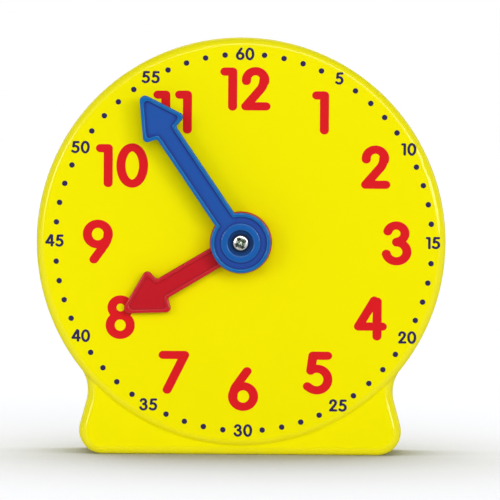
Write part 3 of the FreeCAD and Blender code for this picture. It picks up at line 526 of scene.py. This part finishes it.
def plain_mesh(made, name):
    """The object as its modifiers leave it, as a plain mesh; the object itself goes."""
    depsgraph = bpy.context.evaluated_depsgraph_get()
    data = bpy.data.meshes.new_from_object(made.evaluated_get(depsgraph))
    old = made.data
    bpy.data.objects.remove(made)
    bpy.data.meshes.remove(old)
    data.name = name
    piece = bpy.data.objects.new(name, data)
    bpy.context.scene.collection.objects.link(piece)
    return piece


def dot_ring_tree():
    """A node tree that sets thin round dots on a ring with even gaps, and its inputs' identifiers."""
    tree = bpy.data.node_groups.new("dot_ring", "GeometryNodeTree")
    inputs = {}
    for label, kind in (("Ring radius", "Float"), ("Dot radius", "Float"), ("Film", "Float"),
                        ("Count", "Int"), ("Gap every", "Int"), ("Ink", "Material")):
        item = tree.interface.new_socket(label, in_out="INPUT", socket_type="NodeSocket" + kind)
        inputs[label] = item.identifier
    tree.interface.new_socket("Geometry", in_out="OUTPUT", socket_type="NodeSocketGeometry")

    def add(kind, settings=None, sockets=None):
        made = tree.nodes.new(kind)
        for name, value in (settings or {}).items():
            setattr(made, name, value)
        for name, value in (sockets or {}).items():
            if isinstance(value, bpy.types.NodeSocket):
                tree.links.new(value, made.inputs[name])
            else:
                made.inputs[name].default_value = value
        return made.outputs

    given = add("NodeGroupInput")
    ring = add("GeometryNodeMeshCircle", None, {"Vertices": given["Count"], "Radius": given["Ring radius"]})
    index = add("GeometryNodeInputIndex")
    step = add("FunctionNodeIntegerMath", {"operation": "MODULO"}, {0: index[0], 1: given["Gap every"]})
    left_out = add("FunctionNodeCompare", {"data_type": "INT", "operation": "EQUAL"}, {2: step[0], 3: 0})
    points = add("GeometryNodeDeleteGeometry", {"domain": "POINT"},
                 {"Geometry": ring[0], "Selection": left_out[0]})
    dot = add("GeometryNodeMeshCylinder", None,
              {"Vertices": 28, "Radius": given["Dot radius"], "Depth": given["Film"]})
    dots = add("GeometryNodeInstanceOnPoints", None, {"Points": points[0], "Instance": dot[0]})
    solid = add("GeometryNodeRealizeInstances", None, {"Geometry": dots[0]})
    inked = add("GeometryNodeSetMaterial", None, {"Geometry": solid[0], "Material": given["Ink"]})
    add("NodeGroupOutput", None, {"Geometry": inked[0]})
    return tree, inputs


def ring_of_dots():
    """The forty-eight minute dots between the minute numerals."""
    tree, inputs = dot_ring_tree()
    carrier = bpy.data.objects.new("dots", bpy.data.meshes.new("dots"))
    bpy.context.scene.collection.objects.link(carrier)
    modifier = carrier.modifiers.new("ring", "NODES")
    modifier.node_group = tree
    for label, value in (("Ring radius", 45.8 * MM), ("Dot radius", 0.67 * MM),
                         ("Film", (INK_HEIGHT + INK_DEPTH) * MM), ("Count", 60), ("Gap every", 5),
                         ("Ink", indigo_ink)):
        modifier[inputs[label]] = value
    dots = plain_mesh(carrier, "minute_dots")
    middle = from_dial(*INK_SHIFT, (INK_HEIGHT - INK_DEPTH) / 2)
    dots.data.transform(Matrix.Translation(middle) @ Matrix.Rotation(math.radians(90), 4, "X"))
    return dots


minute_dots = ring_of_dots()
for ink in (hour_numerals, minute_numerals, minute_dots):
    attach(ink, "housing")


# ---------------------------------------------------------------- the long hand's boss

SQUARE = 1.3  # edges that bend more than this, in radians, count as square


def eased(node, body, height, reach):
    """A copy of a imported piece, in its place, with the square edges at one height rounded by reach.

    Both are in millimetres, and height is how far the edges stand out of the dial."""
    material = nodes[node].data.materials[0]
    mesh = bmesh.new()
    mesh.from_mesh(nodes[node].data)
    bmesh.ops.remove_doubles(mesh, verts=mesh.verts, dist=1e-7)
    level = DIAL.y - height * MM

    def at_level(corner):
        return abs(corner.co.y - level) < 1e-6

    about = [edge for edge in mesh.edges if any(at_level(corner) for corner in edge.verts)]
    bmesh.ops.dissolve_limit(mesh, angle_limit=math.radians(1), verts=[], edges=about)
    square = [edge for edge in mesh.edges
              if all(at_level(corner) for corner in edge.verts) and edge.calc_face_angle() > SQUARE]
    bmesh.ops.bevel(mesh, geom=square, offset=reach * MM, segments=4, profile=0.5, affect="EDGES")
    bmesh.ops.triangulate(mesh, faces=mesh.faces)
    piece = settle(node + "_copy", mesh, material, smooth=True)
    if "custom_normal" in piece.data.attributes:
        piece.data.attributes.remove(piece.data.attributes["custom_normal"])
    piece.data.set_sharp_from_angle(angle=KEEP_SHARP)
    flatten = piece.modifiers.new("flatten", "WEIGHTED_NORMAL")
    flatten.keep_sharp = True
    piece = plain_mesh(piece, node + "_eased")
    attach(piece, body)
    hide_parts(node)


eased("minute_hand", "minute_assembly", height=7.1, reach=0.3)


# ---------------------------------------------------------------- screws

BLADE_LIFT = 0.3  # how far a cutter stands out above the screw's head
SLOT_TAPER = (0.58, 0.38)  # how much a slot loses of its length and its width from top to bottom
WELD = 0.004  # corners of a cut screw that are nearer than this become one


def turned(profile, steps=64):
    """A closed solid turned about Z, from (radius, height) pairs that run from axis to axis."""
    mesh = bmesh.new()
    rings = []
    for radius, height in profile:
        if radius == 0:
            rings.append([mesh.verts.new((0, 0, height))])
        else:
            angles = [2 * math.pi * s / steps for s in range(steps)]
            rings.append([mesh.verts.new((radius * math.cos(angle), radius * math.sin(angle), height))
                          for angle in angles])
    for low, high in zip(rings, rings[1:]):
        for s in range(steps):
            after = (s + 1) % steps
            corners = [low[s % len(low)], low[after % len(low)], high[after % len(high)], high[s % len(high)]]
            mesh.faces.new([v for i, v in enumerate(corners) if v not in corners[:i]])
    bmesh.ops.recalc_face_normals(mesh, faces=mesh.faces)
    return mesh


def driver_blade(half_length, half_width, depth, turn):
    """A tapered blade that cuts one slot of a cross recess, from over the head down to depth."""
    mesh = bmesh.new()
    levels = []
    for share, height in ((1.0, -depth), (-BLADE_LIFT / depth, BLADE_LIFT)):
        length = half_length * (1 - SLOT_TAPER[0] * share)
        width = half_width * (1 - SLOT_TAPER[1] * share)
        levels.append([mesh.verts.new((x, y, height)) for x, y in
                       ((length, width), (-length, width), (-length, -width), (length, -width))])
    bottom, upper = levels
    mesh.faces.new(bottom[::-1])
    mesh.faces.new(upper)
    for i in range(4):
        mesh.faces.new([bottom[i], bottom[(i + 1) % 4], upper[(i + 1) % 4], upper[i]])
    bmesh.ops.rotate(mesh, verts=mesh.verts, cent=(0, 0, 0), matrix=Matrix.Rotation(turn, 3, "Z"))
    bmesh.ops.recalc_face_normals(mesh, faces=mesh.faces)
    return mesh


def weld(data, reach):
    """Joins corners that lie within reach of each other and drops the faces that this flattens."""
    mesh = bmesh.new()
    mesh.from_mesh(data)
    bmesh.ops.remove_doubles(mesh, verts=mesh.verts, dist=reach)
    bmesh.ops.dissolve_degenerate(mesh, edges=mesh.edges, dist=reach)
    bmesh.ops.triangulate(mesh, faces=mesh.faces)
    mesh.to_mesh(data)
    mesh.free()


def cross_screw(node, body, head_radius, head_height, shank_radius, recess, turn, outward):
    """A pan-head screw with a tapered cross recess, in the place of a packed screw.

    Sizes are in millimetres. Recess is half the slots' length, half their width, and their depth.
    Outward is -1 where the head faces the viewer and 1 where it faces the back."""
    low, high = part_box(node)
    middle = (low + high) / 2
    length = (high.y - low.y) / MM
    crown = 0.18 * head_height
    edge = 0.3 * head_height
    # From the middle of the head: a shallow dome, a round shoulder, the shank and its narrower end.
    profile = [(0, 0)]
    for sweep in map(math.radians, (15, 30, 45)):
        profile.append((head_radius * math.sin(sweep) * 0.86, -crown * (1 - math.cos(sweep)) / 0.7))
    shoulder = profile[-1][1]
    for sweep in map(math.radians, (20, 40, 60, 80, 90)):
        profile.append((head_radius - edge + edge * math.sin(sweep), shoulder - edge * (1 - math.cos(sweep))))
    profile += [(head_radius, -head_height), (shank_radius, -head_height), (shank_radius, -length + 0.5),
                (shank_radius * 0.45, -length), (0, -length)]
    screw = settle(node + "_body", turned(profile), nickel)
    half_length, half_width, depth = recess
    cutters = [driver_blade(half_length, half_width, depth, angle) for angle in (turn, turn + math.pi / 2)]
    cutters.append(turned([(0, -depth * 0.75), (half_length * 0.3, -depth * 0.7),
                           (half_length * 1.2, BLADE_LIFT), (0, BLADE_LIFT)], 24))
    blades = [settle("blade", cutter, nickel) for cutter in cutters]
    for step, blade in enumerate(blades):
        cut = screw.modifiers.new(f"slot_{step}", "BOOLEAN")
        cut.operation, cut.solver, cut.object = "DIFFERENCE", "EXACT", blade
    piece = plain_mesh(screw, node + "_plated")
    for blade in blades:
        bpy.data.objects.remove(blade)
    weld(piece.data, WELD)
    head_y = high.y if outward > 0 else low.y
    stand = Matrix.Rotation(math.radians(-90 * outward), 4, "X")
    place = Matrix.Translation((middle.x, head_y, middle.z)) @ stand @ Matrix.Diagonal((MM, MM, MM, 1))
    piece.data.transform(place)
    piece.data.materials.clear()
    piece.data.materials.append(nickel)
    for face in piece.data.polygons:
        face.use_smooth = True
    piece.data.set_sharp_from_angle(angle=KEEP_SHARP)
    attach(piece, body)
    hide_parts(node)


cross_screw("minute_hand_screw", "minute_assembly", head_radius=1.9, head_height=1.28, shank_radius=1.0,
            recess=(1.62, 0.45, 0.8), turn=math.radians(27), outward=-1)
for corner, degrees in (("upper_left", 12), ("upper_right", 67), ("lower_left", 38), ("lower_right", 81)):
    cross_screw("cover_screw_" + corner, "housing", head_radius=2.5, head_height=1.68, shank_radius=1.0,
                recess=(1.9, 0.42, 1.0), turn=math.radians(degrees), outward=1)


# ---------------------------------------------------------------- table, light and camera

AMBIENT = 0.2  # the even light from all sides, against the white that the camera sees
PAPER_GLOW = 0.45  # the part of the table's white that does not depend on the lights

sheet = bmesh.new()
bmesh.ops.create_grid(sheet, x_segments=8, y_segments=8, size=6.0)
paper = finish("white_table_paper")
spot = paper.place()
fibre = paper.noise(spot, 0.0008, 3.0)
seen = paper.node("ShaderNodeLightPath", output="Is Camera Ray")
# Near is the wide shade around the clock and close the dark line where the clock meets the table.
near = paper.crevice(0.4, samples=12, alone=False)
close = paper.crevice(0.05, samples=12, alone=False)
tone = paper.tint(seen, (0.8, 0.8, 0.8, 1), (0.925, 0.945, 1.0, 1))
tone = paper.tint(fibre * 0.02, tone, (0.9, 0.9, 0.9, 1))
lit = paper.node("ShaderNodeBsdfDiffuse", None, {"Color": tone, "Normal": paper.bump(fibre, 0.00001)})
glow = paper.node("ShaderNodeEmission", None, {"Color": (1.39 - near * 2.45 - close * 0.4).most(0.0)})
both = paper.node("ShaderNodeMixShader", None, {0: seen * PAPER_GLOW, 1: lit, 2: glow})
paper.node("ShaderNodeOutputMaterial", None, {"Surface": both})
settle("table", sheet, paper.owner)

studio = Finish(bpy.data.worlds.new("studio"))
bpy.context.scene.world = studio.owner
in_view = studio.node("ShaderNodeLightPath", output="Is Camera Ray")
background = studio.node("ShaderNodeBackground", None, {
    "Color": (1, 1, 1, 1), "Strength": in_view * (1 - AMBIENT) + AMBIENT})
studio.node("ShaderNodeOutputWorld", None, {"Surface": background})


def soft_sun(name, towards, level, spread):
    """Light from far away over spread degrees. Level is what it adds to a white face turned to it."""
    light = bpy.data.lights.new(name, "SUN")
    light.energy, light.angle = level * math.pi, math.radians(spread)
    lamp = bpy.data.objects.new(name, light)
    bpy.context.scene.collection.objects.link(lamp)
    lamp.rotation_euler = Vector(towards).to_track_quat("Z", "Y").to_euler()


# The glints are narrow, so that rounded edges carry a line of light.
soft_sun("front", (0.11, -1.0, 0.2), 0.486, 42)
soft_sun("left_fill", (-0.8, -0.6, 0.25), 0.06, 70)
soft_sun("side_right", (0.8, 0.6, 0.3), 0.2, 50)
soft_sun("side_left", (-0.8, 0.6, 0.3), 0.2, 50)
soft_sun("top_back", (0.0, 0.75, 0.66), 0.36, 50)
soft_sun("back_fill", (-0.2, 0.9, 0.35), 0.16, 50)
soft_sun("glint_right", (0.53, -0.83, 0.17), 0.15, 15)
soft_sun("glint_left", (-0.5, -0.84, 0.16), 0.115, 16)

AZIMUTH, ELEVATION, ROLL = 0.6, 1.8, 0.36  # where the camera stands and how it is tilted, in degrees
DISTANCE = 1.39  # from the camera to the point that it looks at
SENSOR = 36.0  # the sensor's width in millimetres
VIEW_SHARE = 500.0 / 5720.0  # the picture's width against the focal length
AIM = Vector((2.2 * MM, DIAL.y, 49.97 * MM))
camera_data = bpy.data.cameras.new("camera")
camera_data.sensor_width = SENSOR
camera_data.sensor_fit = "HORIZONTAL"
camera_data.lens = SENSOR / VIEW_SHARE
camera_data.clip_end = 50.0
camera = bpy.data.objects.new("camera", camera_data)
bpy.context.scene.collection.objects.link(camera)
turn = (Matrix.Rotation(math.radians(AZIMUTH), 4, "Z") @ Matrix.Rotation(math.radians(90 - ELEVATION), 4, "X")
        @ Matrix.Rotation(math.radians(ROLL), 4, "Z"))
camera.matrix_world = Matrix.Translation(AIM + turn.to_3x3() @ Vector((0, 0, DISTANCE))) @ turn
bpy.context.scene.camera = camera
bpy.context.scene.view_settings.view_transform = "Standard"
